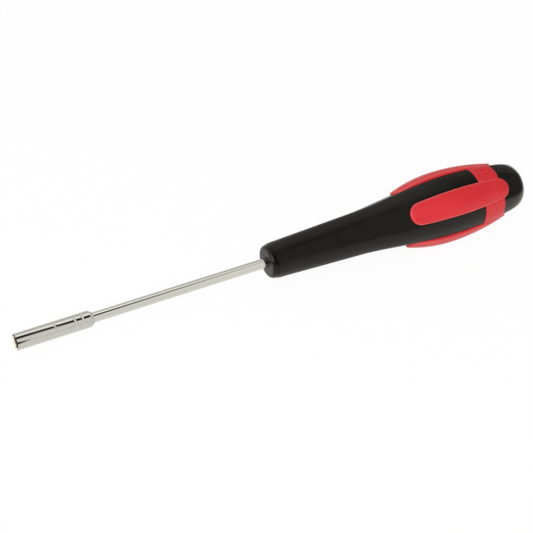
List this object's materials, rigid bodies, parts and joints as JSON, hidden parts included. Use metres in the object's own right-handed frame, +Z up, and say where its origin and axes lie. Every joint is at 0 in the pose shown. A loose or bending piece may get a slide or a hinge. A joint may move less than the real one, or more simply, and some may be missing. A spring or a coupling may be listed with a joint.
{
  "type": "nut driver",
  "caption": "Small hand driver with a slotted round socket on a slim chromed shank and a black flared handle with raised red finger pads.",
  "frame": {"origin": "centre of the socket's mouth, on the tool's axis", "axes": "+X along the tool's axis from the socket's mouth to the butt; +Z up, with a finger pad halfway between each pair of the Y and Z directions, so that two pads point down"},
  "size_m": [0.1782, 0.0218, 0.0218],
  "materials": {
    "socket_chrome": "bright chrome plate, unplated inside the bore",
    "shank_chrome": "bright chrome plate",
    "core_black": "polished moulding",
    "sleeve_black": "satin, finely grained",
    "cage_red": "satin"
  },
  "bodies": {
    "root": {"socket": "socket_chrome", "shank": "shank_chrome", "handle_core": "core_black", "grip_sleeve": "sleeve_black", "finger_cage": "cage_red"}
  },
  "joints": []
}
